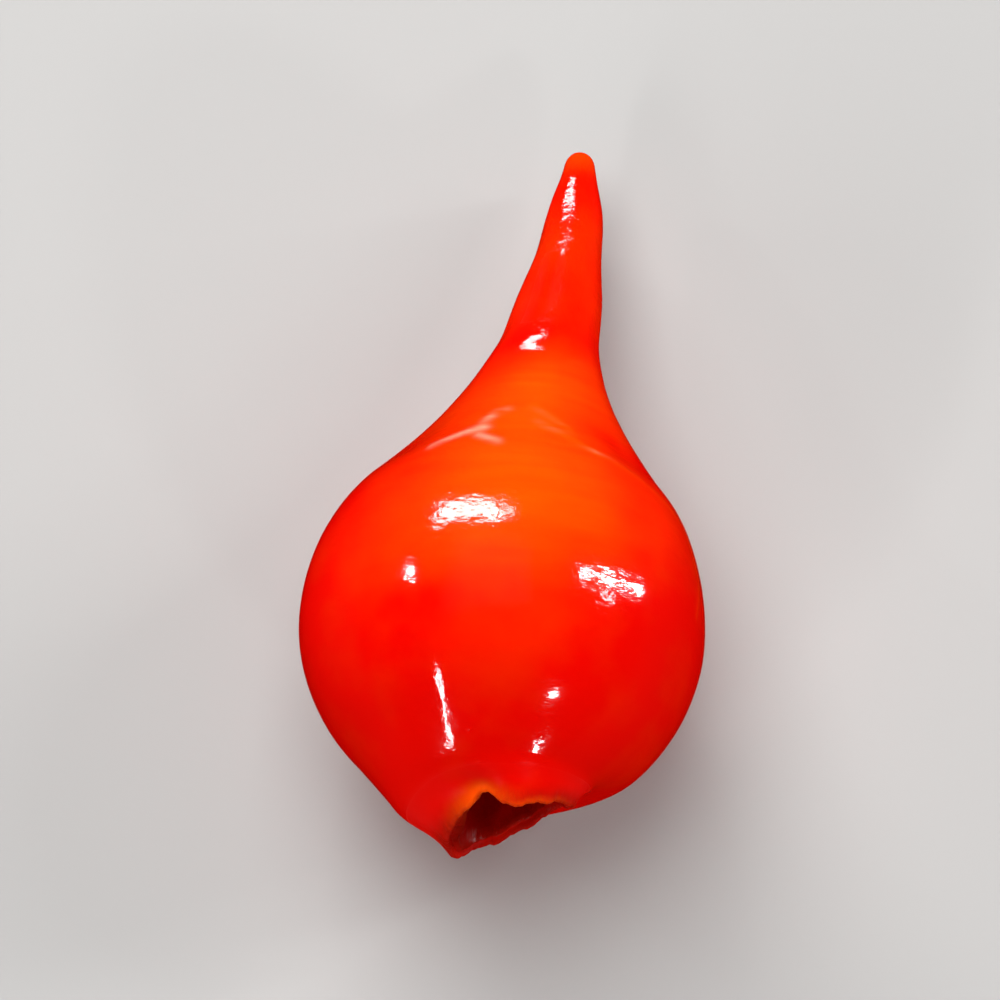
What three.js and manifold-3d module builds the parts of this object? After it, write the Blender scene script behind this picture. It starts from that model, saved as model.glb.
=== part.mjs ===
// A ripe biquinho pepper, a small round chilli with a long pointed beak. It was picked without its stalk,
// so its stem end is a blunt cone with a torn mouth, and it lies on its side on a flat surface.
// Units are millimetres. +Z is up, the beak points along +Y, and the surface it lies on is z = 0.
// The pepper is first shaped about its own axis, which runs from the stem end to the beak, with zero
// at the widest ring. A height is a distance along that axis, and a turn is an angle round it:
// 0 is the pepper's right side, seen from above with the beak pointing away, and 90 degrees is its top.
import * as THREE from "three";
import { mergeVertices } from "three/addons/utils/BufferGeometryUtils.js";
import Module from "manifold-3d";

// Driving dimensions of the outline. Each point is a radius and a height.
const BODY_RADIUS = 7.8; // the round body at its widest
const BALL = { from: -44, to: 42 }; // the body is a true ball between these two latitudes, in degrees
const PIT_FLOOR = { radius: 0, height: -3.4 };
const PIT_CORNER = { radius: 1.7, height: -3.4 }; // pulls the pit's floor round into its wall
const PIT_WALL = { radius: 2.1, height: -5.6 };
const MOUTH = { radius: 2.05, height: -7.85 }; // the inner edge of the torn mouth
const RIM_CREST = { radius: 2.2, height: -8.28 };
const RIM = { radius: 2.4, height: -8.1 }; // its outer edge, with the torn flesh between them
const COLLAR = { radius: 2.7, height: -7.2 }; // pulls the skin in to a short collar below the rim
const NECK_WAIST = { radius: 2.5, height: 9.45 };
const BEAK_BASE = { radius: 1.9, height: 12.4 }; // where the neck has run out into the beak
const BEAK_MIDDLE = { radius: 1.52, height: 14.4 };
const BEAK_TAPER = { radius: 1.2, height: 17.25 };
const BEAK_END = { radius: 0.62, height: 19.8 }; // where the beak starts to round off
const TIP_SIDE = { radius: 0.55, height: 20.25 };
const TIP_CAP = { radius: 0.35, height: 20.5 };
const TIP = { radius: 0, height: 20.5 };
const BODY_PULL = { stem: 2.9, neck: 2.6 }; // how far the ball's curve carries on at either end

// Driving dimensions of what bends and tears it.
const BEAK_LEAN = { from: 5, by: 2.12, ease: 0.75 }; // the beak's end stands this far to the right
const MOUTH_SHIFT = 0.62; // the mouth lies a little to the right of the axis
const SLANT = { turn: 20, size: 0.14 }; // the torn edge stands higher on this side
const TEETH = [
  { count: 9, size: 0.05, phase: 1 },
  { count: 14, size: 0.03, phase: 2.3 },
];
const TEARS = [
  { turn: 190, width: 48, from: -5.2, size: -0.8 }, // a broad lip that hangs on at the left
  { turn: 218, width: 14, from: -7.2, size: -0.3 }, // its corner
  { turn: 318, width: 48, from: -5.2, size: 1.15 }, // the wide tear beside it
  { turn: 118, width: 15, from: -7.2, size: 0.38 }, // a notch near the top
  { turn: 84, width: 26, from: -6.8, size: -0.44 }, // a low tab to the right of the notch
];

// Driving dimensions of the skin's relief: three low lobes round the body, knots along the beak, and
// single swellings and dents, each with the height and the reach along the axis of its middle.
const LOBES = { count: 3, turn: 75, size: 0.13, reach: 5.5 };
const KNOTS = { size: 0.05, perHeight: 1.5, perTurn: 2 };
const JOWL = { turn: 203, width: 40, height: -7.55, reach: 0.6, size: 0.46 }; // fills out to the hanging lip
const FURROWS = { turns: [38, 141, 236, 318], width: 14, height: 6.4, reach: 2.2, size: -0.12 };
const MARKS = [
  { turn: 0, width: 45, height: 6.3, reach: 3, size: 0.4 }, // the fuller right shoulder
  { turn: 44, width: 9, height: 2.4, reach: 1.1, size: -0.17 }, // two soft dents on it
  { turn: 66, width: 9, height: 3.4, reach: 1.2, size: -0.12 },
  { turn: 113, width: 6, height: -3.6, reach: 2.2, size: 0.09 }, // a crease on the lower left
  ...FURROWS.turns.map((turn) => ({ ...FURROWS, turn })), // down the shoulder from the neck
];

// Driving dimensions of how it lies.
const REST_DROOP = 13.5; // the axis slopes down towards the beak by this many degrees
const REST_HEIGHT = 7.5; // of the body's centre, less than its radius, so the belly has a flat spot
const SEGMENTS = 80; // steps round the axis

const degrees = THREE.MathUtils.degToRad;
const vector = (point) => new THREE.Vector2(point.radius, point.height);

// Rises smoothly from 0 to 1 as x goes from one value to the other, which may be the lower one.
function ease(from, to, x) {
  const t = THREE.MathUtils.clamp((x - from) / (to - from), 0, 1);
  return t * t * (3 - 2 * t);
}

// A bump of height 1 centred on one turn, with its half width in degrees.
function bumpAtTurn(turn, centre, width) {
  const away = THREE.MathUtils.euclideanModulo(turn - degrees(centre) + Math.PI, 2 * Math.PI) - Math.PI;
  return Math.exp(-((away / degrees(width)) ** 2));
}

// A bump of height 1 centred on one height, with its half width in millimetres.
function bumpAtHeight(height, centre, reach) {
  return Math.exp(-(((height - centre) / reach) ** 2));
}

// A point of the ball's outline at a latitude, moved on along the ball's tangent there.
function nearBall(latitude, onwards = 0) {
  const angle = degrees(latitude);
  const tangent = new THREE.Vector2(-Math.sin(angle), Math.cos(angle)).multiplyScalar(onwards);
  return new THREE.Vector2(Math.cos(angle), Math.sin(angle)).multiplyScalar(BODY_RADIUS).add(tangent);
}

// The outline from the middle of the pit's floor, out over the torn rim, and up the skin to the tip.
// Each stretch says how many rings it is cut into.
function outline() {
  const bend = (start, pullStart, pullEnd, end) => new THREE.CubicBezierCurve(start, pullStart, pullEnd, end);
  const ballStart = nearBall(BALL.from);
  const ballEnd = nearBall(BALL.to);
  const pit = bend(vector(PIT_FLOOR), vector(PIT_CORNER), vector(PIT_WALL), vector(MOUTH));
  const rim = new THREE.QuadraticBezierCurve(vector(MOUTH), vector(RIM_CREST), vector(RIM));
  const stem = bend(vector(RIM), vector(COLLAR), nearBall(BALL.from, -BODY_PULL.stem), ballStart);
  const body = new THREE.ArcCurve(0, 0, BODY_RADIUS, degrees(BALL.from), degrees(BALL.to));
  const neck = bend(ballEnd, nearBall(BALL.to, BODY_PULL.neck), vector(NECK_WAIST), vector(BEAK_BASE));
  const beak = bend(vector(BEAK_BASE), vector(BEAK_MIDDLE), vector(BEAK_TAPER), vector(BEAK_END));
  const tip = bend(vector(BEAK_END), vector(TIP_SIDE), vector(TIP_CAP), vector(TIP));
  return [
    { curve: pit, rings: 6, inside: true },
    { curve: rim, rings: 3, inside: false },
    { curve: stem, rings: 10, inside: false },
    { curve: body, rings: 15, inside: false },
    { curve: neck, rings: 11, inside: false },
    { curve: beak, rings: 9, inside: false },
    { curve: tip, rings: 4, inside: false },
  ];
}

// How far the axis has moved to the right at a height: nothing on the body, then a smooth lean.
function leanAt(height) {
  const along = THREE.MathUtils.clamp((height - BEAK_LEAN.from) / (TIP.height - BEAK_LEAN.from), 0, 1);
  return BEAK_LEAN.by * ease(0, 1, along ** BEAK_LEAN.ease);
}

// The torn edge as a move along the axis: a slant, and single tears that each start at their own height.
function tearAt(turn, height, inside) {
  const slant = SLANT.size * Math.cos(turn - degrees(SLANT.turn)) * ease(-5.2, RIM.height, height);
  const tears = TEARS.map(
    (tear) =>
      tear.size *
      bumpAtTurn(turn, tear.turn, tear.width) *
      ease(inside ? tear.from + 1 : tear.from, inside ? MOUTH.height : RIM.height, height),
  );
  return tears.reduce((sum, tear) => sum + tear, slant);
}

// The teeth of the torn edge itself, as a move along the axis at each turn.
function teethAt(turn) {
  return TEETH.reduce((sum, wave) => sum + wave.size * Math.cos(wave.count * turn + wave.phase), 0);
}

// A swelling of the skin, or a dent where its size is negative.
function markAt(mark, turn, height) {
  return mark.size * bumpAtTurn(turn, mark.turn, mark.width) * bumpAtHeight(height, mark.height, mark.reach);
}

// The skin's relief in millimetres. All but the jowl fades out towards the torn rim.
function reliefAt(turn, height) {
  const lobes = LOBES.size * Math.cos(LOBES.count * (turn - degrees(LOBES.turn)));
  const onBeak = ease(9.8, 12.7, height) * ease(20.5, 18.6, height);
  const knots = KNOTS.size * Math.sin(KNOTS.perHeight * height + KNOTS.perTurn * turn) * onBeak;
  const marks = MARKS.reduce((sum, mark) => sum + markAt(mark, turn, height), 0);
  const fading = (lobes * bumpAtHeight(height, 0, LOBES.reach) + knots + marks) * ease(-7, -5, height);
  return fading + markAt(JOWL, turn, height);
}

// Moves one point of the turned outline to its place on the pepper.
function sculpt(point, inside) {
  const radius = Math.hypot(point.x, point.z);
  const turn = Math.atan2(point.z, point.x);
  const height = point.y;
  const onRim = inside ? ease(-6.9, -7.85, height) : ease(-7.6, -8.1, height);
  const nearMouth = inside ? ease(-4, -7.5, height) : ease(4, 2.4, radius) * ease(-5, -6, height);
  const reach = radius + (inside ? 0 : reliefAt(turn, height) * ease(0, 0.8, radius));
  return new THREE.Vector3(
    leanAt(height) + MOUTH_SHIFT * nearMouth + reach * Math.cos(turn),
    height + (tearAt(turn, height, inside) + teethAt(turn) * onRim) * ease(0, 1, radius),
    reach * Math.sin(turn),
  );
}

// The whole skin as one closed surface, still about the pepper's own axis.
function skin() {
  const points = [vector(PIT_FLOOR)];
  const inside = [true];
  for (const stretch of outline())
    for (let ring = 1; ring <= stretch.rings; ring += 1) {
      points.push(stretch.curve.getPoint(ring / stretch.rings));
      inside.push(stretch.inside);
    }
  const turned = new THREE.LatheGeometry(points, SEGMENTS);
  const position = turned.getAttribute("position");
  const point = new THREE.Vector3();
  for (let i = 0; i < position.count; i += 1) {
    point.fromBufferAttribute(position, i);
    position.setXYZ(i, ...sculpt(point, inside[i % points.length]));
  }
  return turned;
}

const wasm = await Module();
wasm.setup();

// A closed geometry as a solid, its seam and poles merged and its collapsed triangles dropped.
function solidOf(geometry) {
  const bare = new THREE.BufferGeometry()
    .setAttribute("position", geometry.getAttribute("position"))
    .setIndex(geometry.index);
  const merged = mergeVertices(bare, 1e-4);
  const corners = merged.index.array;
  const kept = [];
  for (let i = 0; i < corners.length; i += 3) {
    const [a, b, c] = corners.subarray(i, i + 3);
    if (a !== b && b !== c && c !== a) kept.push(a, b, c);
  }
  return new wasm.Manifold(
    new wasm.Mesh({
      numProp: 3,
      vertProperties: merged.getAttribute("position").array,
      triVerts: new Uint32Array(kept),
    }),
  );
}

function geometryOf(solid) {
  const mesh = solid.getMesh();
  return new THREE.BufferGeometry()
    .setAttribute("position", new THREE.BufferAttribute(mesh.vertProperties, 3))
    .setIndex(new THREE.BufferAttribute(mesh.triVerts, 1));
}

// Lays the pepper down with its beak drooping, and flattens what would sink below the surface.
function layDown(geometry) {
  geometry.rotateX(degrees(-REST_DROOP)).translate(0, 0, REST_HEIGHT);
  const depth = 10;
  const below = new THREE.BoxGeometry(60, 80, depth).translate(0, 0, -depth / 2);
  const rested = geometryOf(solidOf(geometry).subtract(solidOf(below)));
  rested.computeBoundingBox();
  const middle = rested.boundingBox.getCenter(new THREE.Vector3());
  return rested.translate(-middle.x, -middle.y, 0);
}

const ripeSkin = new THREE.MeshStandardMaterial({ color: 0xe41a04, roughness: 0.22, metalness: 0 });
const pepper = new THREE.Mesh(layDown(skin()), ripeSkin);
pepper.name = "pepper";

const biquinho = new THREE.Group();
biquinho.add(pepper);

export default biquinho;
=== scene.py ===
"""A ripe biquinho pepper lying on a pale surface: its fine skin, its torn mouth, and a small studio.

The pepper is shaped about its own axis, in millimetres: a height is a distance along that axis from
the widest ring, positive towards the beak, and a turn is an angle round it, with 0 at the pepper's
right side, seen from above with the beak pointing away, and 90 degrees at its top. It is then laid
down in the model's frame, in metres, with +Z up and the beak along +Y.
"""

import logging
import math
from dataclasses import dataclass
from enum import Enum

import bpy
import numpy as np
from mathutils import Matrix, Vector


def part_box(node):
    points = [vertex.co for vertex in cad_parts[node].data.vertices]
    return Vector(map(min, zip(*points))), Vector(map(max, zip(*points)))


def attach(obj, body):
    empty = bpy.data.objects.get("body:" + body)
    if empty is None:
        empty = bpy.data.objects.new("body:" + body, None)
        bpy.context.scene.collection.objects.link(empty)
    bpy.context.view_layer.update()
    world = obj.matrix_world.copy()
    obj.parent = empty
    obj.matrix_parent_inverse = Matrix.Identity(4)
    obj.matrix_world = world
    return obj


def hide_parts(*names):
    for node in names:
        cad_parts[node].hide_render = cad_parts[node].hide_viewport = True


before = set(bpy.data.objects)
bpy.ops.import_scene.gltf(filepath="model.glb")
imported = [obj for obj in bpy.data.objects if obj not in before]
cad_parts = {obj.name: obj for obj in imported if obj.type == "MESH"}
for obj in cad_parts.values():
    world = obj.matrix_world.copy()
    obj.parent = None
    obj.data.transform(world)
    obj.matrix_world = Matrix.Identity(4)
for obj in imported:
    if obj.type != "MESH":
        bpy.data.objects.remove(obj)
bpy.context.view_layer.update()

MM = 0.001
NODE = "pepper"

log = logging.getLogger("biquinho")
Socket = bpy.types.NodeSocket
Pair = tuple[float, float]
Triple = tuple[float, float, float]


class Mask(Enum):
    """What the skin's mesh stores at each vertex, as a number from 0 to 1."""

    # The skin's own orange, together with painted light on the upper side, along the folds and at the
    # torn rim.
    ORANGE_AND_PAINTED_LIGHT = "orange_and_painted_light"
    TORN = "torn"
    DEEP = "deep"
    CREASED = "creased"
    DULL = "dull"
    # Painted sheen on the folds' crests.
    PAINTED_SHEEN = "pale"


def ease(start: float, end: float, x: np.ndarray) -> np.ndarray:
    """Rises smoothly from 0 to 1 as x goes from start to end, which may be the lower one.

    Args:
        start: Where the rise begins.
        end: Where it is complete.
        x: The values to ease.

    Returns:
        t * t * (3 - 2 * t), with t the clamped share of the way.
    """
    t = np.clip((x - start) / (end - start), 0.0, 1.0)
    return t * t * (3.0 - 2.0 * t)


def bump_at_turn(turn: np.ndarray, centre: float, width: float) -> np.ndarray:
    """A bell of height 1 round the axis.

    Args:
        turn: Angles in radians.
        centre: The bell's middle in degrees.
        width: Its half width in degrees.

    Returns:
        exp(-(angle away / width) squared), with the angle taken the short way round.
    """
    away = np.mod(turn - math.radians(centre) + math.pi, 2.0 * math.pi) - math.pi
    return np.exp(-((away / math.radians(width)) ** 2))


def bump_at_height(height: np.ndarray, centre: float, reach: float) -> np.ndarray:
    """A bell of height 1 along the axis, exp(-(distance / reach) squared)."""
    return np.exp(-(((height - centre) / reach) ** 2))


def waves(turn: np.ndarray, parts: tuple, shape: np.ufunc = np.cos) -> np.ndarray:
    """Waves round the axis, for parts that each say how many there are, how high, and their phase."""
    return sum(size * shape(count * turn + phase) for count, size, phase in parts)


def bezier(points: list[Pair], steps: int) -> np.ndarray:
    """A curve of any degree through its first and last point.

    Args:
        points: The control points, each a radius and a height.
        steps: How many equal steps of the parameter to take.

    Returns:
        (steps + 1, 2) points: the sum of each control point times its Bernstein weight.
    """
    t = np.linspace(0.0, 1.0, steps + 1)[:, None]
    degree = len(points) - 1
    curve = np.zeros((steps + 1, 2))
    for k, point in enumerate(points):
        curve += math.comb(degree, k) * t**k * (1.0 - t) ** (degree - k) * np.array(point)
    return curve


@dataclass(frozen=True)
class Roughcast:
    """Smooth random relief from a repeating lattice of random numbers.

    Attributes:
        cell: How large its coarsest lumps are.
        octaves: Its layers, each half as large and half as strong as the one before.
        size: How strong the coarsest layer is.
        offset: Where it starts in the lattice, so that no two are alike.
        stretch: How far it is drawn out across, along and up.
        seed: What fixes the lattice.
        side: The lattice's points along each edge.
        apart: How far apart its layers start.
    """

    cell: float
    octaves: int = 1
    size: float = 1.0
    offset: float = 0.0
    stretch: Triple = (1.0, 1.0, 1.0)
    seed: int = 7
    side: int = 32
    apart: float = 17.3

    def at(self, points: np.ndarray) -> np.ndarray:
        """The relief at (..., 3) places in space, all its layers together."""
        start = points / np.array(self.stretch) + self.offset
        layers = (
            self.layer(start + self.apart * k, self.cell / 2**k) / 2**k
            for k in range(self.octaves)
        )
        return self.size * sum(layers)

    def layer(self, points: np.ndarray, cell: float) -> np.ndarray:
        """Noise between about -1 and 1 at places in space.

        Args:
            points: (..., 3) places.
            cell: The lattice's spacing, in the same unit.

        Returns:
            The lattice's eight surrounding values, blended by the eased share of the way between them.
        """
        lattice = np.random.default_rng(self.seed).uniform(-1.0, 1.0, (self.side,) * 3)
        scaled = points / cell
        base = np.floor(scaled).astype(int)
        share = scaled - base
        share = share * share * (3.0 - 2.0 * share)
        total = np.zeros(points.shape[:-1])
        for corner in np.ndindex(2, 2, 2):
            x, y, z = np.moveaxis(np.mod(base + np.array(corner), self.side), -1, 0)
            weight = np.prod(np.where(np.array(corner) == 1, share, 1.0 - share), axis=-1)
            total += weight * lattice[x, y, z]
        return total


@dataclass(frozen=True)
class Rise:
    """Something that sets in along the axis.

    Attributes:
        start: The height where it begins.
        end: The height where it is complete, which may be the lower one.
        size: How strong it is then.
    """

    start: float
    end: float
    size: float = 1.0

    def at(self, height: np.ndarray) -> np.ndarray:
        """Its strength at each height."""
        return self.size * ease(self.start, self.end, height)


@dataclass(frozen=True)
class Span:
    """A stretch of the axis with soft ends.

    Attributes:
        start: The heights between which it fades in.
        end: The heights between which it fades out, towards the beak.
        size: How strong it is in between.
    """

    start: Pair
    end: Pair
    size: float = 1.0

    def at(self, height: np.ndarray) -> np.ndarray:
        """Its strength at each height."""
        return self.size * ease(*self.start, height) * ease(*self.end[::-1], height)


@dataclass(frozen=True)
class Patch:
    """A stretch of the skin that is strongest on one side.

    Attributes:
        span: Where it lies along the axis.
        turn: Where it is strongest, in degrees.
        width: Its half width there, in degrees.
        size: How much stronger it is there than behind.
        behind: How strong it is behind.
    """

    span: Span
    turn: float
    width: float
    size: float = 1.0
    behind: float = 0.0

    def at(self, turn: np.ndarray, height: np.ndarray) -> np.ndarray:
        """Its strength at turns in radians and at heights."""
        facing = self.behind + self.size * bump_at_turn(turn, self.turn, self.width)
        return self.span.at(height) * facing


@dataclass(frozen=True)
class Site:
    """Points of the skin before it has any relief, as arrays of one shape.

    Attributes:
        radius: Their distances from the axis.
        height: Their heights along it.
        turn: Their angles round it, in radians.
        inside: Whether each of them lines the pit.
        place: (..., 3) the same places across, along and up.
    """

    radius: np.ndarray
    height: np.ndarray
    turn: np.ndarray
    inside: np.ndarray
    place: np.ndarray

    def split(self, inside: Rise, outside: Rise) -> np.ndarray:
        """One rise's strength on the pit's wall and another's on the outer skin."""
        return np.where(self.inside, inside.at(self.height), outside.at(self.height))


@dataclass(frozen=True)
class Mark:
    """One swelling or dent of the skin.

    Attributes:
        turn: Its middle round the axis, in degrees.
        width: Its half width there, in degrees.
        height: Its middle along the axis.
        reach: Its half width there.
        size: How far it stands out, or in where negative.
    """

    turn: float
    width: float
    height: float
    reach: float
    size: float

    def at(self, site: Site) -> np.ndarray:
        """The mark's relief, a bell round the axis times a bell along it."""
        round_axis = bump_at_turn(site.turn, self.turn, self.width)
        return self.size * round_axis * bump_at_height(site.height, self.height, self.reach)


@dataclass(frozen=True)
class Fold:
    """A fine fold of the skin along a straight line.

    Attributes:
        start: The turn in degrees and the height where it starts.
        end: The same where it ends.
        width: Its half width.
        size: How far it stands out.
        orange_and_painted_light: How much more orange it is: painted light along the fold, a rim light
            line on the right shoulder.
        pale: How strong the painted sheen on its crest is, a pale colour standing in for its shine.
    """

    start: Pair
    end: Pair
    width: float
    size: float
    orange_and_painted_light: float = 0.0
    pale: float = 0.0

    def at(self, site: Site) -> np.ndarray:
        """The fold's strength, exp(-(distance / width) squared), with the distance along the skin."""
        middle = math.radians((self.start[0] + self.end[0]) / 2.0)
        away = np.mod(site.turn - middle + math.pi, 2.0 * math.pi) - math.pi
        across = away * site.radius
        run = (math.radians(self.end[0]) - middle) * site.radius
        rise = (self.end[1] - self.start[1]) / 2.0
        along = site.height - (self.start[1] + self.end[1]) / 2.0
        share = np.clip((across * run + along * rise) / (run**2 + rise**2), -1.0, 1.0)
        distance = np.hypot(across - share * run, along - share * rise)
        return np.exp(-((distance / self.width) ** 2))


@dataclass(frozen=True)
class FineSkin:
    """The fine relief, which the solid leaves out.

    Attributes:
        dents: Small swellings and dents.
        folds: Fine folds of the shoulder.
        wander: The waves round the axis in which the rings wander.
        drift: The random part of that.
        rings: Waves along the axis: their length, their height, and which way they wander.
        ring_height: How far rings and streaks stand out.
        ringed: The middle and half width of the stretch that has them.
        gaps: Where they are left out.
        gap_edge: Its values between which they set in.
        brush: Fine streaks, drawn out along each ring.
        swell: A soft uneven swell.
        grain: A finer one.
        swelling: Where both set in past the stem end.
        ribs: The pit's ribs, where the partitions were.
        lumps: The lumps of its wall.
        ribbed: Where ribs and lumps set in past its floor.
    """

    dents: tuple[Mark, ...] = (
        Mark(88.0, 36.0, 10.5, 0.75, -0.19),
        Mark(75.0, 5.0, -1.3, 0.5, -0.03),
        Mark(69.5, 10.0, -5.3, 1.0, 0.025),
        Mark(69.0, 11.0, -6.7, 0.75, 0.014),
    )
    # A fold's blush and pale amounts are painted light: a lighter orange rim light line down the right
    # shoulder, and painted sheen on the left shoulder's crests.
    folds: tuple[Fold, ...] = (
        Fold((121.0, 5.1), (112.0, 5.6), 0.27, 0.05, 0.1, 0.42),
        Fold((108.5, 5.8), (103.0, 5.9), 0.30, 0.05, 0.1, 0.55),
        Fold((105.0, 6.2), (103.0, 6.7), 0.28, 0.05, 0.1, 0.3),
        Fold((102.0, 7.0), (97.0, 7.15), 0.26, 0.05, 0.1, 0.45),
        Fold((103.0, 5.4), (95.0, 4.9), 0.25, 0.05, 0.1, 0.45),
        Fold((84.0, 7.4), (66.0, 6.3), 0.22, 0.02, 0.3, 0.04),
        Fold((80.0, 6.4), (57.6, 5.1), 0.26, 0.02, 0.3, 0.05),
        Fold((57.6, 5.1), (38.0, 4.5), 0.24, 0.02, 0.25, 0.05),
        Fold((34.0, 4.3), (22.0, 3.7), 0.24, 0.015, 0.2),
        Fold((17.0, 3.0), (13.5, 1.8), 0.18, 0.01, 0.25),
        Fold((13.0, 1.3), (17.0, -0.3), 0.16, 0.01, 0.2),
        Fold((112.0, 19.0), (118.0, 15.8), 0.22, 0.008),
    )
    wander: tuple = ((2.0, 1.1, 0.6), (5.0, 0.7, 2.0))
    drift: Roughcast = Roughcast(3.0, size=2.2)
    rings: tuple = ((0.85, 1.0, 1.0), (0.47, 0.6, -1.0))
    ring_height: float = 0.006
    ringed: Pair = (7.6, 3.0)
    gaps: Roughcast = Roughcast(2.6, offset=40.0)
    gap_edge: Pair = (-0.35, 0.5)
    brush: Roughcast = Roughcast(1.0, octaves=2, offset=5.0, stretch=(2.6, 0.3, 2.6))
    swell: Roughcast = Roughcast(4.2, octaves=2, size=0.03, offset=9.0)
    grain: Roughcast = Roughcast(1.1, octaves=2, size=0.004, offset=23.0)
    swelling: Rise = Rise(-7.6, -6.0)
    ribs: tuple = ((3.0, 0.10, 0.8), (7.0, 0.05, 2.0))
    lumps: Roughcast = Roughcast(1.3, octaves=3, size=0.16, offset=61.0)
    ribbed: Rise = Rise(-3.4, -5.0)

    def rings_at(self, site: Site) -> np.ndarray:
        """The shoulder's fine rings, sines along the axis that wander round it, and its streaks."""
        wander = waves(site.turn, self.wander, np.sin) + self.drift.at(site.place)
        rings = sum(
            size * np.sin(2.0 * math.pi * site.height / length + way * wander)
            for length, size, way in self.rings
        )
        shown = ease(*self.gap_edge, self.gaps.at(site.place))
        shown = shown * bump_at_height(site.height, *self.ringed)
        return self.ring_height * (rings + self.brush.at(site.place)) * shown

    def outside_at(self, site: Site) -> np.ndarray:
        """The outer skin's fine relief: rings, dents, folds, and a soft uneven swell."""
        small = sum(dent.at(site) for dent in self.dents)
        small = small + sum(fold.size * fold.at(site) for fold in self.folds)
        uneven = self.swell.at(site.place) + self.grain.at(site.place)
        return self.rings_at(site) + small + uneven * self.swelling.at(site.height)

    def inside_at(self, site: Site) -> np.ndarray:
        """The relief of the pit's wall: low ribs where the partitions were, and lumps."""
        wall = waves(site.turn, self.ribs) + self.lumps.at(site.place)
        return wall * self.ribbed.at(site.height)


@dataclass(frozen=True)
class Pattern:
    """Where the skin is orange, creased, dull or torn, and where light is painted on it.

    Attributes:
        mottle: The unevenness of the orange.
        edge_mottle: How far it moves the orange's edges.
        blush_mottle: How much it changes the orange.
        blush_streaks: How much the brushed streaks change it.
        shoulder, neck, beak, tip, body: How orange each of them is, and where; on the upper shoulder,
            neck and body this is partly painted light.
        stem_end: Where all of it sets in past the stem end.
        painted_rim_bands: Orange bands of painted rim light where the rolled torn edge catches the
            light: turn and half width in degrees, and its onset.
        torn: Where the outer skin turns into the torn edge.
        deep: Where the torn edge turns into the pit's flesh.
        creased_beak: The stretch of the beak that is creased.
        creases: Other creased patches.
        dry: The dry, dull side of the beak.
        dry_spots: The unevenness of that.
        dry_edge: The values of it between which the dry skin sets in.
        dull_stem: Where the skin turns dull towards the mouth.
        dull_pit: How dull the pit is.
        painted_sheen_streaks: How strong the painted sheen on a fold's crest is, and how much the
            brushed streaks change that.
    """

    mottle: Roughcast = Roughcast(3.2, octaves=3, offset=77.0)
    edge_mottle: float = 0.8
    blush_mottle: float = 0.08
    blush_streaks: float = 0.16
    # Shoulder, neck and body orange is strongest on the upper side: partly the skin's own orange,
    # partly painted light where the top faces the lights.
    shoulder: Patch = Patch(Span((-3.0, 2.2), (8.5, 12.2)), 86.0, 34.0, 0.84, 0.06)
    neck: Patch = Patch(Span((4.0, 7.5), (8.8, 12.0), 0.68), 76.0, 52.0, 0.8, 0.2)
    beak: Rise = Rise(10.3, 13.2, 0.14)
    tip: Rise = Rise(18.8, 20.2, 0.55)
    body: Mark = Mark(80.0, 36.0, -2.0, 5.0, 0.12)
    stem_end: Rise = Rise(-8.0, -6.0)
    # Painted rim light: orange bands where the rolled torn edge catches the light.
    painted_rim_bands: tuple = ((122.0, 26.0, Rise(-7.45, -8.0)), (80.0, 42.0, Rise(-7.85, -8.15, 0.5)))
    torn: Rise = Rise(-7.45, -8.15, 0.85)
    deep: Rise = Rise(-7.9, -7.0)
    creased_beak: Span = Span((9.5, 12.0), (19.0, 20.3), 0.9)
    creases: tuple[Mark, ...] = (
        Mark(58.0, 18.0, -1.2, 1.6, 0.4),
        Mark(112.0, 15.0, 6.0, 2.2, 0.8),
        Mark(113.0, 6.0, -5.2, 1.8, 0.45),
        Mark(100.0, 18.0, 1.4, 1.6, 0.5),
    )
    dry: Patch = Patch(Span((11.6, 12.2), (15.5, 16.1)), 108.0, 75.0)
    dry_spots: Roughcast = Roughcast(0.5)
    dry_edge: Pair = (0.5, 0.25)
    dull_stem: Rise = Rise(-6.85, -7.25, 0.97)
    dull_pit: float = 0.85
    painted_sheen_streaks: Pair = (0.7, 1.4)

    def orange_and_painted_light_at(self, site: Site, fine: FineSkin) -> np.ndarray:
        """How orange the skin and the torn edge are, from 0 to 1, with painted light on the upper side,
        along the folds and at the rim.
        """
        mottle = self.mottle.at(site.place)
        wavy = site.height + self.edge_mottle * mottle
        shoulder, neck = (patch.at(site.turn, wavy) for patch in (self.shoulder, self.neck))
        beak, tip = (onset.at(site.height) for onset in (self.beak, self.tip))
        orange_and_painted_light = np.maximum.reduce([shoulder, neck, beak, tip, self.body.at(site)])
        streaks = fine.brush.at(site.place) * np.maximum(shoulder, neck)
        orange_and_painted_light = orange_and_painted_light + self.blush_mottle * mottle + self.blush_streaks * streaks
        # The folds add painted light: a lighter orange rim light line down the right shoulder.
        orange_and_painted_light = orange_and_painted_light + sum(fold.orange_and_painted_light * fold.at(site) for fold in fine.folds)
        # Painted rim light on the rolled torn edge.
        painted_rim_light = [
            bump_at_turn(site.turn, turn, width) * onset.at(site.height)
            for turn, width, onset in self.painted_rim_bands
        ]
        orange_and_painted_light = np.clip(orange_and_painted_light, 0.0, 1.0) * self.stem_end.at(site.height)
        return np.maximum.reduce([orange_and_painted_light, *painted_rim_light])

    def painted_sheen_at(self, site: Site, fine: FineSkin) -> np.ndarray:
        """How strong the painted sheen on the folds' crests is, from 0 to 1: a pale colour standing in
        for their shine.
        """
        crests = sum(fold.pale * fold.at(site) ** 2 for fold in fine.folds)
        average, change = self.painted_sheen_streaks
        return np.clip(crests * (average + change * fine.brush.at(site.place)), 0.0, 1.0)

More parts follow.
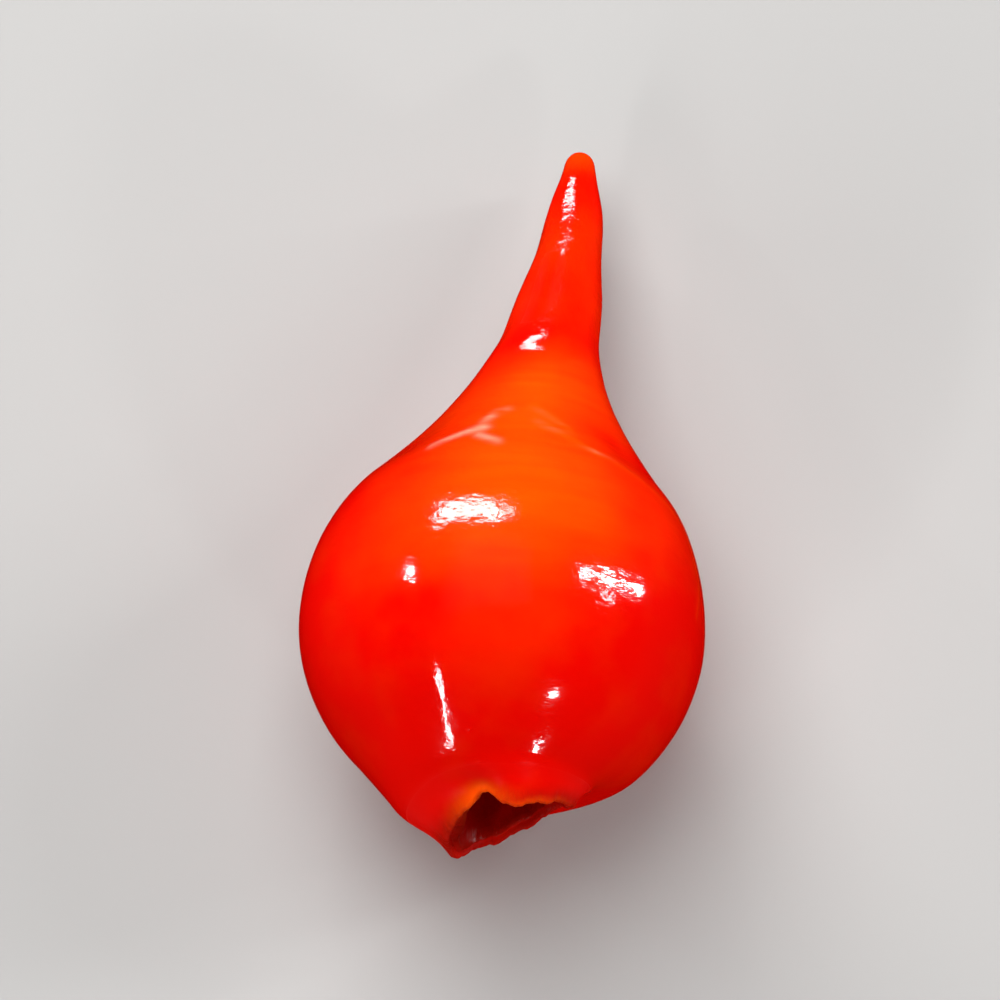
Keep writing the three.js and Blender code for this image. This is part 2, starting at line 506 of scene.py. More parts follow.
    def dull_at(self, site: Site) -> np.ndarray:
        """How dull the skin is, from 0 to 1: round and in the mouth, and on one side of the beak."""
        dry = self.dry.at(site.turn, site.height)
        dry = dry * ease(*self.dry_edge, self.dry_spots.at(site.place))
        return np.maximum(np.where(site.inside, self.dull_pit, self.dull_stem.at(site.height)), dry)

    def masks(self, site: Site, fine: FineSkin) -> dict[Mask, np.ndarray]:
        """Every mask at the points, from 0 to 1."""
        creased = [self.creased_beak.at(site.height), *[mark.at(site) for mark in self.creases]]
        return {
            Mask.ORANGE_AND_PAINTED_LIGHT: self.orange_and_painted_light_at(site, fine),
            Mask.PAINTED_SHEEN: self.painted_sheen_at(site, fine),
            Mask.CREASED: np.maximum.reduce(creased),
            Mask.DULL: self.dull_at(site),
            Mask.TORN: np.where(site.inside, 1.0, self.torn.at(site.height)),
            Mask.DEEP: np.where(site.inside, self.deep.at(site.height), 0.0),
        }


@dataclass(frozen=True)
class Stretch:
    """A stretch of the outline, split into rings.

    Attributes:
        points: (n, 2) radius and height of each ring.
        inside: Whether it lines the pit.
    """

    points: np.ndarray
    inside: bool


@dataclass(frozen=True)
class Outline:
    """The pepper's outline, from the middle of the pit's floor over the torn rim to the beak's tip.

    Each point is a radius and a height. The body is a ball between two latitudes, in degrees, and the
    pulls say how far its curve carries on at either end.
    """

    body_radius: float = 7.8
    ball: Pair = (-44.0, 42.0)
    pit: tuple = ((0.0, -3.4), (1.7, -3.4), (2.1, -5.6))
    mouth: Pair = (2.05, -7.85)
    rim_crest: Pair = (2.2, -8.28)
    rim: Pair = (2.4, -8.1)
    collar: Pair = (2.7, -7.2)
    neck_waist: Pair = (2.5, 9.45)
    beak_base: Pair = (1.9, 12.4)
    beak: tuple = ((1.52, 14.4), (1.2, 17.25))
    beak_end: Pair = (0.62, 19.8)
    tip: tuple = ((0.55, 20.25), (0.35, 20.5), (0.0, 20.5))
    pulls: Pair = (2.9, 2.6)
    rings: tuple[int, ...] = (32, 16, 44, 62, 42, 34, 8)

    def near_ball(self, latitude: float, onwards: float = 0.0) -> Pair:
        """A point of the ball's outline, moved on along the ball's tangent there.

        Args:
            latitude: The point's angle in degrees.
            onwards: How far to move, backwards where negative.

        Returns:
            Its radius and height.
        """
        angle = math.radians(latitude)
        radius = self.body_radius * math.cos(angle) - onwards * math.sin(angle)
        return radius, self.body_radius * math.sin(angle) + onwards * math.cos(angle)

    def stretches(self) -> list[Stretch]:
        """The outline's seven stretches in order: pit, rim, stem end, body, neck, beak and tip."""
        pit, rim, stem, body, neck, beak, tip = self.rings
        start, end = self.near_ball(self.ball[0]), self.near_ball(self.ball[1])
        stem_pull = self.near_ball(self.ball[0], -self.pulls[0])
        neck_pull = self.near_ball(self.ball[1], self.pulls[1])
        latitudes = np.linspace(*self.ball, body + 1)
        ball = np.array([self.near_ball(latitude) for latitude in latitudes])
        return [
            Stretch(bezier([*self.pit, self.mouth], pit), True),
            Stretch(bezier([self.mouth, self.rim_crest, self.rim], rim), False),
            Stretch(bezier([self.rim, self.collar, stem_pull, start], stem), False),
            Stretch(ball, False),
            Stretch(bezier([end, neck_pull, self.neck_waist, self.beak_base], neck), False),
            Stretch(bezier([self.beak_base, *self.beak, self.beak_end], beak), False),
            Stretch(bezier([self.beak_end, *self.tip], tip), False),
        ]


@dataclass(frozen=True)
class Pepper:
    """The whole fruit: one closed skin from the pit's floor to the beak's tip.

    Attributes:
        outline: Its outline.
        segments: How many steps the skin has round the axis.
        lean: Where the axis starts to lean right, how far it leans, and the power that eases it.
        mouth_shift: How far the mouth lies to the right of the axis.
        shifted_inside: Where that sets in along the pit.
        shifted_outside: Where it sets in along the outer skin.
        shifted_radii: The distances from the axis between which it does.
        slant: The turn where the torn edge stands higher, by how much, and the height where it begins.
        teeth: Waves of the torn edge: how many, how high, and their phase.
        fine_teeth: Finer waves of it, in the same form.
        toothed_inside: Where the teeth set in along the pit.
        toothed_outside: Where they set in along the outer skin.
        tears: Single tears: turn and half width in degrees, the height where each begins, and its move.
        later_inside: How much nearer the beak they begin in the pit.
        full_from: How far from the axis the relief and the tears are complete.
        jowl: The swelling that fills the stem end out to its hanging lip.
        lobes: The low lobes round the body: how many, the first's turn, height and reach.
        knots: The beak's knots: their height, and their waves for each millimetre and turn.
        knotted: The stretch of the beak that has them.
        furrows: The furrows that run down the shoulder.
        marks: Other swellings and dents.
        marked: Where all of these set in past the stem end.
        fine: The fine relief.
        pattern: Where the skin is orange, creased, dull or torn, and where light is painted on it.
        droop: How far the axis slopes down towards the beak, in degrees.
        rest_height: The height of the body's centre, less than its radius for a flat spot.
    """

    outline: Outline = Outline()
    segments: int = 400
    lean: Triple = (5.0, 2.12, 0.75)
    mouth_shift: float = 0.62
    shifted_inside: Rise = Rise(-4.0, -7.5)
    shifted_outside: Rise = Rise(-5.0, -6.0)
    shifted_radii: Pair = (4.0, 2.4)
    slant: Triple = (20.0, 0.14, -5.2)
    teeth: tuple = ((9, 0.05, 1.0), (14, 0.03, 2.3))
    fine_teeth: tuple = ((23, 0.02, 0.4), (37, 0.012, 1.9), (58, 0.008, 4.0))
    toothed_inside: Rise = Rise(-6.9, -7.85)
    toothed_outside: Rise = Rise(-7.6, -8.1)
    tears: tuple = (
        (190.0, 48.0, -5.2, -0.8),
        (218.0, 14.0, -7.2, -0.3),
        (318.0, 48.0, -5.2, 1.15),
        (118.0, 15.0, -7.2, 0.38),
        (84.0, 26.0, -6.8, -0.44),
    )
    later_inside: float = 1.0
    full_from: Pair = (0.8, 1.0)
    jowl: Mark = Mark(203.0, 40.0, -7.55, 0.6, 0.46)
    lobes: tuple[int, float, float, float] = (3, 75.0, 0.13, 5.5)
    knots: Triple = (0.05, 1.5, 2.0)
    knotted: Span = Span((9.8, 12.7), (18.6, 20.5))
    furrows: tuple[Mark, ...] = tuple(
        Mark(turn, 14.0, 6.4, 2.2, -0.12) for turn in (38.0, 141.0, 236.0, 318.0)
    )
    marks: tuple[Mark, ...] = (
        Mark(0.0, 45.0, 6.3, 3.0, 0.4),
        Mark(44.0, 9.0, 2.4, 1.1, -0.17),
        Mark(66.0, 9.0, 3.4, 1.2, -0.12),
        Mark(113.0, 6.0, -3.6, 2.2, 0.09),
    )
    marked: Rise = Rise(-7.0, -5.0)
    fine: FineSkin = FineSkin()
    pattern: Pattern = Pattern()
    droop: float = 13.5
    rest_height: float = 7.5

    def lean_at(self, height: np.ndarray) -> np.ndarray:
        """How far the axis has moved right: its lean, eased from where it starts to the tip."""
        start, by, power = self.lean
        along = np.clip((height - start) / (self.outline.tip[-1][1] - start), 0.0, 1.0)
        return by * ease(0.0, 1.0, along**power)

    def tear_at(self, site: Site) -> np.ndarray:
        """The torn edge as a move along the axis: a slant, single tears, and the teeth."""
        side, by, onset = self.slant
        rim, mouth = self.outline.rim[1], self.outline.mouth[1]
        edge = by * np.cos(site.turn - math.radians(side)) * ease(onset, rim, site.height)
        for centre, width, start, size in self.tears:
            inside = ease(start + self.later_inside, mouth, site.height)
            follow = np.where(site.inside, inside, ease(start, rim, site.height))
            edge = edge + size * bump_at_turn(site.turn, centre, width) * follow
        on_rim = site.split(self.toothed_inside, self.toothed_outside)
        return edge + waves(site.turn, self.teeth + self.fine_teeth) * on_rim

    def relief_at(self, site: Site) -> np.ndarray:
        """The outer skin's main relief: lobes, knots, furrows, marks, and the jowl."""
        count, first, size, reach = self.lobes
        lobes = size * np.cos(count * (site.turn - math.radians(first)))
        relief = lobes * bump_at_height(site.height, 0.0, reach)
        knot, per_height, per_turn = self.knots
        knots = knot * np.sin(per_height * site.height + per_turn * site.turn)
        relief = relief + knots * self.knotted.at(site.height)
        relief = relief + sum(mark.at(site) for mark in self.furrows + self.marks)
        return relief * self.marked.at(site.height) + self.jowl.at(site)

    def shift_at(self, site: Site) -> np.ndarray:
        """How far the points move right with the mouth."""
        outside = ease(*self.shifted_radii, site.radius) * self.shifted_outside.at(site.height)
        return self.mouth_shift * np.where(site.inside, self.shifted_inside.at(site.height), outside)

    def site(self) -> Site:
        """The outline turned round the axis, on a grid of rings and segments."""
        stretches = self.outline.stretches()
        points = np.concatenate([stretches[0].points[:1], *[s.points[1:] for s in stretches]])
        sides = [np.full(len(stretch.points) - 1, stretch.inside) for stretch in stretches]
        inside = np.concatenate([[True], *sides])[:, None]
        turn = np.linspace(0.0, 2.0 * math.pi, self.segments, endpoint=False)[None, :]
        radius, height, turn, inside = np.broadcast_arrays(points[:, :1], points[:, 1:], turn, inside)
        place = np.stack([radius * np.cos(turn), height, radius * np.sin(turn)], axis=-1)
        return Site(radius, height, turn, inside, place)

    def surface(self) -> tuple[np.ndarray, dict[Mask, np.ndarray]]:
        """Works out the whole skin on a grid of rings and turns.

        Returns:
            (rings, segments, 3) places about the pepper's own axis, and each mask on the same grid.
        """
        site = self.site()
        relief_radius, tear_radius = self.full_from
        skin = self.relief_at(site) + self.fine.outside_at(site)
        relief = np.where(site.inside, self.fine.inside_at(site), skin)
        reach = site.radius + relief * ease(0.0, relief_radius, site.radius)
        x = self.lean_at(site.height) + self.shift_at(site) + reach * np.cos(site.turn)
        y = site.height + self.tear_at(site) * ease(0.0, tear_radius, site.radius)
        z = reach * np.sin(site.turn)
        return np.stack([x, y, z], axis=-1), self.pattern.masks(site, self.fine)

    def laid_down(self, grid: np.ndarray) -> np.ndarray:
        """Tilts the beak down, rests the belly on the surface and centres the pepper where its node is.

        Args:
            grid: Places about the pepper's own axis.

        Returns:
            The same places in the model's frame, in metres, with nothing below the surface.
        """
        angle = math.radians(self.droop)
        x, y, z = np.moveaxis(grid, -1, 0)
        forward = y * math.cos(angle) + z * math.sin(angle)
        up = z * math.cos(angle) - y * math.sin(angle) + self.rest_height
        laid = np.stack([x, forward, np.maximum(up, 0.0)], axis=-1) * MM
        flat = laid.reshape(-1, 3)
        low, high = (np.array(corner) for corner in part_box(NODE))
        middle = (low + high) / 2.0 - (flat.min(axis=0) + flat.max(axis=0)) / 2.0
        return laid + np.array([middle[0], middle[1], 0.0])

    def body_centre(self) -> Vector:
        """The middle of the round body in the model's frame, in metres."""
        grid, _ = self.surface()
        placed = self.laid_down(grid)
        widest = np.argmax(np.ptp(placed[..., 0], axis=1))
        x = (placed[widest, :, 0].min() + placed[widest, :, 0].max()) / 2.0
        y = (placed[widest, :, 1].min() + placed[widest, :, 1].max()) / 2.0
        return Vector((x, y, self.rest_height * MM))

    def unrolled(self, placed: np.ndarray) -> np.ndarray:
        """The skin's map: across it goes round the axis, and up it follows the outline.

        Args:
            placed: (rings, segments, 3) places.

        Returns:
            (corners, 2) map places from 0 to 1, in the order in which build() lists the faces' corners.
        """
        rings, segments = placed.shape[:2]
        steps = np.linalg.norm(np.diff(placed, axis=0), axis=-1).mean(axis=1)
        up = np.concatenate([[0.0], np.cumsum(steps)]) / steps.sum()
        left = np.arange(segments) / segments
        right = left + 1.0 / segments
        middle = (left + right) / 2.0
        low, high = (edge[:, None] + 0.0 * left for edge in (up[1:-2], up[2:-1]))
        across = np.stack([left, left, right, right], axis=-1) + np.zeros((rings - 3, 1, 1))
        quads = np.stack([across, np.stack([low, high, high, low], axis=-1)], axis=-1)
        first_up = np.tile([0.0, up[1], up[1]], (segments, 1))
        last_up = np.tile([1.0, up[-2], up[-2]], (segments, 1))
        first = np.stack([np.stack([middle, left, right], axis=-1), first_up], axis=-1)
        last = np.stack([np.stack([middle, right, left], axis=-1), last_up], axis=-1)
        return np.concatenate([part.reshape(-1, 2) for part in (quads, first, last)]).astype(np.float32)

    def build(self, material: bpy.types.Material) -> None:
        """Makes the skin's mesh with its masks and map, and puts it in the place of the CAD node.

        Args:
            material: The finish.
        """
        grid, masks = self.surface()
        placed = self.laid_down(grid)
        rings, segments = placed.shape[:2]
        inner = placed[1:-1].reshape(-1, 3)
        vertices = np.concatenate([inner, placed[:1, 0], placed[-1:, 0]])
        bottom, top = len(inner), len(inner) + 1
        index = np.arange(len(inner)).reshape(rings - 2, segments)
        here, there = index[:-1], index[1:]
        corners = [here, there, np.roll(there, -1, 1), np.roll(here, -1, 1)]
        quads = np.stack(corners, axis=-1).reshape(-1, 4)
        first, last = index[0], index[-1]
        caps = [
            np.stack([np.full(segments, bottom), first, np.roll(first, -1)], axis=-1),
            np.stack([np.full(segments, top), np.roll(last, -1), last], axis=-1),
        ]
        mesh = bpy.data.meshes.new("pepper skin")
        faces = [*quads.tolist(), *caps[0].tolist(), *caps[1].tolist()]
        mesh.from_pydata(vertices.tolist(), [], faces)
        mesh.uv_layers.new(name="OFBake").data.foreach_set("uv", self.unrolled(placed).ravel())
        for mask, values in masks.items():
            flat = np.concatenate([values[1:-1].ravel(), values[:1, 0], values[-1:, 0]])
            layer = mesh.attributes.new(mask.value, "FLOAT", "POINT")
            layer.data.foreach_set("value", flat.astype(np.float32))
        mesh.polygons.foreach_set("use_smooth", np.ones(len(mesh.polygons), dtype=bool))
        mesh.update()
        skin = bpy.data.objects.new("pepper_skin", mesh)
        bpy.context.scene.collection.objects.link(skin)
        mesh.materials.append(material)
        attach(skin, "root")
        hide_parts(NODE)
        log.info("pepper_skin: %d vertices, %d faces", len(mesh.vertices), len(mesh.polygons))


class Nodes:
    """A short way to add nodes to a tree and to join them."""

    COLOUR_MIX_INPUTS = (0, 6, 7)
    COLOUR_MIX_OUTPUT = 2

    def __init__(self, tree: bpy.types.NodeTree) -> None:
        """Keeps the tree and its links."""
        self.tree = tree

    def add(self, kind: str, inputs: dict | None = None, **settings: object) -> bpy.types.Node:
        """Adds a node.

        Args:
            kind: The node's type name.
            inputs: What goes into each input: a socket to join, or a value to set.
            **settings: Properties of the node.

        Returns:
            The new node.
        """
        node = self.tree.nodes.new(kind)
        for name, value in settings.items():
            setattr(node, name, value)
        self.fill(node, inputs or {})
        return node

    def fill(self, node: bpy.types.Node, inputs: dict) -> None:
        """Joins a socket to each named or numbered input, or sets the input to a value."""
        for name, value in inputs.items():
            if isinstance(value, Socket):
                self.tree.links.new(value, node.inputs[name])
            else:
                node.inputs[name].default_value = value

    def math(self, operation: str, *values: object) -> Socket:
        """The result of a Math node on sockets or numbers."""
        node = self.add("ShaderNodeMath", dict(enumerate(values)), operation=operation)
        return node.outputs[0]

    def mix(self, share: object, first: object, second: object) -> Socket:
        """One colour shading into another as share goes from 0 to 1."""
        node = self.add("ShaderNodeMix", data_type="RGBA")
        self.fill(node, dict(zip(self.COLOUR_MIX_INPUTS, (share, first, second))))
        return node.outputs[self.COLOUR_MIX_OUTPUT]

    def mask(self, mask: Mask) -> Socket:
        """One of the skin's masks."""
        return self.add("ShaderNodeAttribute", attribute_name=mask.value).outputs["Fac"]


def grain_group() -> bpy.types.NodeTree:
    """A fine uneven grain, used on the waxy skin and on the torn flesh.

    Returns:
        A group with inputs Place, Scale and Stretch and output Height, from 0 to 1. Height is noise at
        the given scale, made finer by the stretch along each axis.
    """
    group = bpy.data.node_groups.new("fine grain", "ShaderNodeTree")
    group.interface.new_socket("Place", in_out="INPUT", socket_type="NodeSocketVector")
    group.interface.new_socket("Scale", in_out="INPUT", socket_type="NodeSocketFloat")
    group.interface.new_socket("Stretch", in_out="INPUT", socket_type="NodeSocketVector")
    group.interface.new_socket("Height", in_out="OUTPUT", socket_type="NodeSocketFloat")
    nodes = Nodes(group)
    given = nodes.add("NodeGroupInput")
    result = nodes.add("NodeGroupOutput")
    drawn = nodes.add("ShaderNodeVectorMath", operation="MULTIPLY")
    group.links.new(given.outputs["Place"], drawn.inputs[0])
    group.links.new(given.outputs["Stretch"], drawn.inputs[1])
    inputs = {"Vector": drawn.outputs[0], "Scale": given.outputs["Scale"]}
    noise = nodes.add("ShaderNodeTexNoise", {**inputs, "Detail": 3.0, "Roughness": 0.55})
    group.links.new(noise.outputs["Fac"], result.inputs["Height"])
    return group


@dataclass(frozen=True)
class Grain:
    """One use of the grain group.

    Attributes:
        scale: Its cells in each metre.
        stretch: How much finer it is across, along and up.
        height: How many times as high as the waxy grain it is.
    """

    scale: float
    stretch: Triple
    height: float = 1.0

    def add(self, nodes: Nodes, group: bpy.types.NodeTree, place: Socket) -> Socket:
        """Places the group with its own values at the coordinates, and returns its height."""
        node = nodes.add("ShaderNodeGroup", node_tree=group)
        nodes.fill(node, {"Place": place, "Scale": self.scale, "Stretch": self.stretch})
        return node.outputs["Height"]


@dataclass(frozen=True)
class RipeSkin:
    """The finish of the whole pepper: waxy red skin, and moist dark flesh in the torn mouth.

    Attributes:
        ripe: The skin's deep red.
        orange_and_painted_light: The orange of the shoulder and the beak's tip, also painted as light
            on the upper side and along the right shoulder's folds.
        painted_sheen: The painted sheen on the crests of the shoulder's folds, a pale colour standing
            in for their shine.
        torn: The torn edge.
        painted_rim_orange: The orange of the painted rim light, where the rolled torn edge catches the
            light.
        pit: The flesh deep in the mouth.
        mottle_scale: The cells of the orange's mottle in each metre.
        mottle: How far it spreads.
        gloss_roughness: The roughness of the wet wax.
        dullness: How much rougher the dull places are.
        dryness: How far inside the dull places the skin turns rough, as a power.
        shine: The wet wax's specular level. The dull places have none.
        grain_height: The waxy grain's height in metres.
        waxy: That grain.
        creased: The fine creases.
        fibrous: The torn flesh's fibres.
        pore_scale: The raised pores' cells in each metre.
        pore_width: The radius of a pore in a cell 1 across.
        pore_height: How many times as high as the waxy grain they are.
        refraction: The wax's index of refraction.
        scatter: How much of the light the flesh scatters.
        scatter_colours: How far red, green and blue reach, as shares of the reach.
        scatter_reach: The reach in metres.
    """

    ripe: tuple = (0.80, 0.0018, 0.0001, 1.0)
    orange_and_painted_light: tuple = (0.92, 0.072, 0.0004, 1.0)
    painted_sheen: tuple = (1.0, 0.42, 0.30, 1.0)
    torn: tuple = (0.30, 0.004, 0.001, 1.0)
    painted_rim_orange: tuple = (0.90, 0.075, 0.0015, 1.0)
    pit: tuple = (0.48, 0.0014, 0.0009, 1.0)
    mottle_scale: float = 420.0
    mottle: float = 0.3
    gloss_roughness: float = 0.08
    dullness: float = 0.35
    dryness: float = 8.0
    shine: float = 0.5
    grain_height: float = 0.000012
    waxy: Grain = Grain(2600.0, (0.6, 1.5, 0.8))
    creased: Grain = Grain(1700.0, (1.0, 0.8, 1.0), 5.5)
    fibrous: Grain = Grain(5200.0, (1.0, 0.25, 1.0), 5.0)
    pore_scale: float = 750.0
    pore_width: float = 1.0 / 6.0
    pore_height: float = 1.0
    refraction: float = 1.65
    scatter: float = 0.22
    scatter_colours: Triple = (1.0, 0.16, 0.05)
    scatter_reach: float = 0.0009

    def material(self) -> bpy.types.Material:
        """Builds the material.

        Returns:
            The colours follow the skin's masks and a soft mottle, and the grain drives a bump.
        """
        material = bpy.data.materials.new("ripe pepper skin")
        material.use_nodes = True
        tree = material.node_tree
        tree.nodes.clear()
        nodes = Nodes(tree)
        place = nodes.add("ShaderNodeTexCoord").outputs["Object"]
        height = self.height(nodes, place)
        bump = nodes.add(
            "ShaderNodeBump", {"Height": height, "Strength": 1.0, "Distance": self.grain_height}
        )
        dull = nodes.mask(Mask.DULL)
        dry = nodes.math("POWER", dull, self.dryness)
        shader = nodes.add(
            "ShaderNodeBsdfPrincipled",
            {
                "Base Color": self.colour(nodes, place),
                "Roughness": nodes.math("MULTIPLY_ADD", dry, self.dullness, self.gloss_roughness),
                "Normal": bump.outputs["Normal"],
                "IOR": self.refraction,
                "Specular IOR Level": nodes.math("MULTIPLY_ADD", dull, -self.shine, self.shine),
                "Subsurface Weight": self.scatter,
                "Subsurface Radius": self.scatter_colours,
                "Subsurface Scale": self.scatter_reach,
            },
        )
        output = nodes.add("ShaderNodeOutputMaterial")
        tree.links.new(shader.outputs["BSDF"], output.inputs["Surface"])
        return material

    def colour(self, nodes: Nodes, place: Socket) -> Socket:
        """The skin's colour: red shading into orange, partly painted light on the upper side, painted
        sheen on the folds' crests, painted rim light on the torn edge, and the torn flesh.
        """
        mottle = nodes.add(
            "ShaderNodeTexNoise", {"Vector": place, "Scale": self.mottle_scale, "Detail": 4.0}
        )
        uneven = nodes.math("MULTIPLY_ADD", mottle.outputs["Fac"], self.mottle, -self.mottle / 2.0)
        orange_and_painted_light = nodes.math("ADD", nodes.mask(Mask.ORANGE_AND_PAINTED_LIGHT), uneven)
        orange_and_painted_light = nodes.math("MINIMUM", nodes.math("MAXIMUM", orange_and_painted_light, 0.0), 1.0)
        # Orange over red: partly the skin's own orange, partly painted light on the upper shoulder,
        # neck and body and along the right shoulder's folds.
        skin = nodes.mix(orange_and_painted_light, self.ripe, self.orange_and_painted_light)
        # Painted sheen: a pale colour on the folds' crests that stands in for their shine.
        skin = nodes.mix(nodes.mask(Mask.PAINTED_SHEEN), skin, self.painted_sheen)
        # Painted rim light: orange where the rolled torn edge catches the light; elsewhere the torn
        # edge's dark red.
        edge = nodes.mix(nodes.mask(Mask.ORANGE_AND_PAINTED_LIGHT), self.torn, self.painted_rim_orange)
        flesh = nodes.mix(nodes.mask(Mask.DEEP), edge, self.pit)
        return nodes.mix(nodes.mask(Mask.TORN), skin, flesh)

    def height(self, nodes: Nodes, place: Socket) -> Socket:
        """The finest relief: grain, creases and pores on the skin, and fibres on the torn flesh."""
        group = grain_group()
        waxy, creases, fibrous = (
            grain.add(nodes, group, place) for grain in (self.waxy, self.creased, self.fibrous)
        )
        creased = nodes.math("MULTIPLY", nodes.mask(Mask.CREASED), self.creased.height)
        waxy = nodes.math("MULTIPLY_ADD", creases, creased, waxy)
        cells = nodes.add("ShaderNodeTexVoronoi", {"Vector": place, "Scale": self.pore_scale})
        pores = nodes.math("MULTIPLY_ADD", cells.outputs["Distance"], -1.0 / self.pore_width, 1.0)
        pores = nodes.math("POWER", nodes.math("MAXIMUM", pores, 0.0), 2.0)
        waxy = nodes.math("MULTIPLY_ADD", pores, self.pore_height, waxy)
        torn = nodes.mask(Mask.TORN)
        waxy = nodes.math("MULTIPLY", waxy, nodes.math("SUBTRACT", 1.0, torn))
        fibrous = nodes.math("MULTIPLY", fibrous, torn)
        return nodes.math("MULTIPLY_ADD", fibrous, self.fibrous.height, waxy)


@dataclass(frozen=True)
class View:
    """The camera at the photograph's angle to the pepper.

    Attributes:
        azimuth: Degrees, with 0 looking along +Y.
        elevation: Degrees above the surface.
        lens: Focal length in millimetres, long as for a close-up.
        sensor: Sensor width in millimetres.
        photo_scale: Millimetres to a pixel of the photograph at the pepper.
        body_pixel: The body's middle in the photograph.
        centre_pixel: The photograph's pixel at the middle of the frame.
        enlarged: Pixels of the frame to a pixel of the photograph.
        frame_side: The frame's side in pixels.
        clip: The nearest and farthest distance that it sees, in metres.
    """

    azimuth: float = 2.5
    elevation: float = 78.0
    lens: float = 350.0
    sensor: float = 36.0
    photo_scale: float = 0.1535
    body_pixel: Pair = (585.0, 434.0)
    centre_pixel: Pair = (584.5, 402.0)
    enlarged: float = 4.0
    frame_side: float = 1000.0
    clip: Pair = (0.01, 20.0)

    def axes(self) -> tuple[Vector, Vector, Vector]:
        """The camera's right, up and backward directions."""
        turn, rise = math.radians(self.azimuth), math.radians(self.elevation)
        right = Vector((math.cos(turn), math.sin(turn), 0.0))
        ahead = Vector((-math.sin(turn), math.cos(turn), 0.0))
        up = ahead * math.sin(rise) + Vector((0.0, 0.0, math.cos(rise)))
        back = ahead * -math.cos(rise) + Vector((0.0, 0.0, math.sin(rise)))
        return right, up, back

    def place(self, body_centre: Vector) -> None:
        """Adds the camera and makes it the scene's.

        Args:
            body_centre: The middle of the round body.
        """
        right, up, back = self.axes()
        across = (self.centre_pixel[0] - self.body_pixel[0]) * self.photo_scale * MM
        above = (self.body_pixel[1] - self.centre_pixel[1]) * self.photo_scale * MM
        target = body_centre + right * across + up * above
        width = self.frame_side / self.enlarged * self.photo_scale * MM
        data = bpy.data.cameras.new("camera")
        data.lens, data.sensor_width = self.lens, self.sensor
        data.clip_start, data.clip_end = self.clip
        camera = bpy.data.objects.new("camera", data)
        matrix = Matrix((right, up, back)).transposed().to_4x4()
        matrix.translation = target + back * (width * self.lens / self.sensor)
        camera.matrix_world = matrix
        bpy.context.scene.collection.objects.link(camera)
        bpy.context.scene.camera = camera
        log.info("camera at %.3f m from the pepper", width * self.lens / self.sensor)


@dataclass(frozen=True)
class SoftLight:
    """A rectangular studio light.

    Attributes:
        name: What it is.
        towards: Its direction from the pepper, as right, up and back parts of the camera's axes.
        along: The direction of its width, in the same parts.
        spread: How many degrees wide and high it looks from the pepper.
        glow: How bright its surface is, in watts for each square metre and steradian.
        shines: Whether the gloss shows it.
        distance: How far off it stands, in metres.
    """

    name: str
    towards: Triple
    along: Triple
    spread: Pair
    glow: float
    shines: bool = True
    distance: float = 0.45

    def place(self, axes: tuple[Vector, Vector, Vector], aim: Vector) -> None:
        """Adds the light, facing the pepper.

        Args:
            axes: The camera's right, up and back directions.
            aim: The point that it faces.
        """
        direction = sum((axis * part for axis, part in zip(axes, self.towards)), Vector()).normalized()
        across = sum((axis * part for axis, part in zip(axes, self.along)), Vector())
        across = (across - direction * across.dot(direction)).normalized()
        half_angles = (math.radians(angle) / 2.0 for angle in self.spread)
        width, height = (2.0 * self.distance * math.tan(angle) for angle in half_angles)
        data = bpy.data.lights.new(self.name, "AREA")
        data.shape = "RECTANGLE"
        data.size, data.size_y = width, height
        data.energy = self.glow * math.pi * width * height
        light = bpy.data.objects.new(self.name, data)
        matrix = Matrix((across, direction.cross(across), direction)).transposed().to_4x4()
        matrix.translation = aim + direction * self.distance
        light.matrix_world = matrix
        light.visible_camera = False
        light.visible_glossy = self.shines
        bpy.context.scene.collection.objects.link(light)


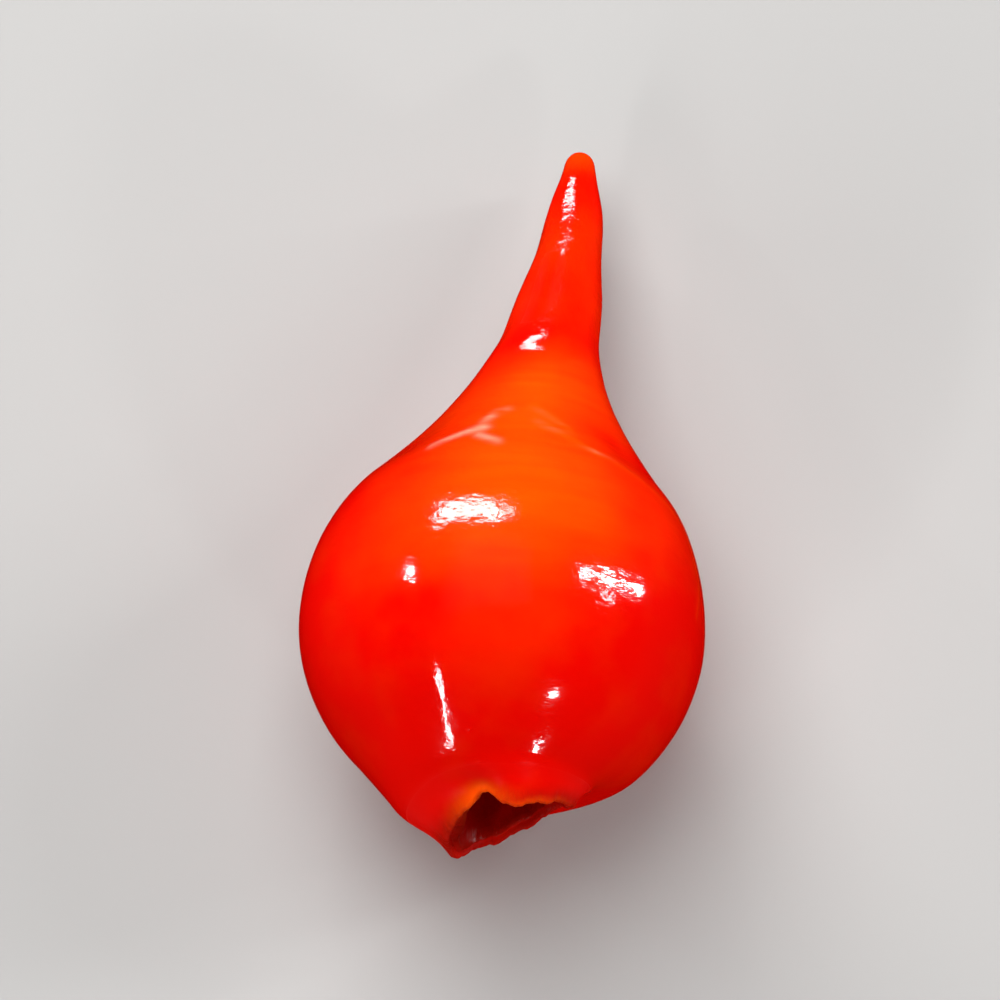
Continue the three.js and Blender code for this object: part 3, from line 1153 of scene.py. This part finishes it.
@dataclass(frozen=True)
class Studio:
    """The pale floor, the soft lights and the dim surroundings.

    Attributes:
        floor_side: The floor's side in metres.
        floor_colour: Its colour.
        floor_roughness: Its roughness.
        floor_shine: Its specular level.
        backdrop: The colour behind the floor's edge.
        mirrored: What the gloss shows of the surroundings, a warm dusk that keeps the skin's edges red.
        lights: The lights.
    """

    floor_side: float = 0.7
    floor_colour: tuple = (0.44, 0.435, 0.427, 1.0)
    floor_roughness: float = 0.9
    floor_shine: float = 0.2
    backdrop: tuple = (0.62, 0.614, 0.60, 1.0)
    mirrored: tuple = (0.30, 0.001, 0.0003, 1.0)
    lights: tuple[SoftLight, ...] = (
        SoftLight("window behind", (-0.33, 0.88, 0.26), (0.55, 0.12, 0.26), (32.0, 11.5), 16.0),
        SoftLight("gap behind", (-0.05, 0.92, 0.39), (1.0, 0.0, 0.0), (13.0, 3.0), 18.0),
        SoftLight("small window left", (-0.837, 0.438, 0.329), (0.06, 0.19, -0.1), (4.5, 2.2), 60.0),
        SoftLight("window right", (0.885, 0.36, 0.32), (0.39, -0.3, -0.8), (44.0, 2.4), 55.0),
        SoftLight("small window right", (0.877, 0.232, 0.42), (0.39, -0.3, -0.8), (7.0, 4.0), 18.0),
        SoftLight("strip lower left", (-0.52, -0.63, 0.577), (0.14, -0.43, -0.30), (34.0, 4.2), 24.0),
        SoftLight("spot lower right", (0.416, -0.633, 0.653), (1.0, 0.0, 0.0), (7.0, 2.5), 60.0),
        SoftLight("spot low right", (0.318, -0.882, 0.349), (1.0, 0.0, 0.0), (3.2, 2.6), 60.0),
        SoftLight("overhead", (-0.15, 0.52, 0.84), (1.0, 0.0, 0.0), (44.0, 44.0), 5.0, shines=False),
    )

    def build(self, view: View, aim: Vector) -> None:
        """Adds the floor, the world and the lights.

        Args:
            view: The camera, whose axes the lights follow.
            aim: The middle of the pepper's body.
        """
        self.floor()
        self.world()
        axes = view.axes()
        for light in self.lights:
            light.place(axes, aim)
        bpy.context.scene.view_settings.view_transform = "Standard"
        log.info("studio: floor and %d lights", len(self.lights))

    def floor(self) -> None:
        """Adds the floor, a level matt square that the gloss doesn't show."""
        half = self.floor_side / 2.0
        mesh = bpy.data.meshes.new("floor")
        corners = [(-half, -half, 0.0), (half, -half, 0.0), (half, half, 0.0), (-half, half, 0.0)]
        mesh.from_pydata(corners, [], [(0, 1, 2, 3)])
        floor = bpy.data.objects.new("floor", mesh)
        bpy.context.scene.collection.objects.link(floor)
        material = bpy.data.materials.new("pale floor")
        material.use_nodes = True
        shader = material.node_tree.nodes["Principled BSDF"]
        shader.inputs["Base Color"].default_value = self.floor_colour
        shader.inputs["Roughness"].default_value = self.floor_roughness
        shader.inputs["Specular IOR Level"].default_value = self.floor_shine
        mesh.materials.append(material)
        floor.visible_glossy = False

    def world(self) -> None:
        """Sets the surroundings: the camera sees them pale and a gloss shows them dim and warm."""
        world = bpy.data.worlds.new("surroundings")
        bpy.context.scene.world = world
        world.use_nodes = True
        tree = world.node_tree
        tree.nodes.clear()
        nodes = Nodes(tree)
        seen = nodes.add("ShaderNodeLightPath").outputs["Is Camera Ray"]
        colour = nodes.mix(seen, self.mirrored, self.backdrop)
        background = nodes.add("ShaderNodeBackground", {"Color": colour})
        output = nodes.add("ShaderNodeOutputWorld")
        tree.links.new(background.outputs[0], output.inputs["Surface"])
        world.cycles_visibility.diffuse = False


def main() -> None:
    """Builds the pepper and its studio."""
    logging.basicConfig(level=logging.INFO, format="%(name)s: %(message)s")
    pepper = Pepper()
    pepper.build(RipeSkin().material())
    centre = pepper.body_centre()
    view = View()
    view.place(centre)
    Studio().build(view, centre)


if __name__ == "__main__":
    main()
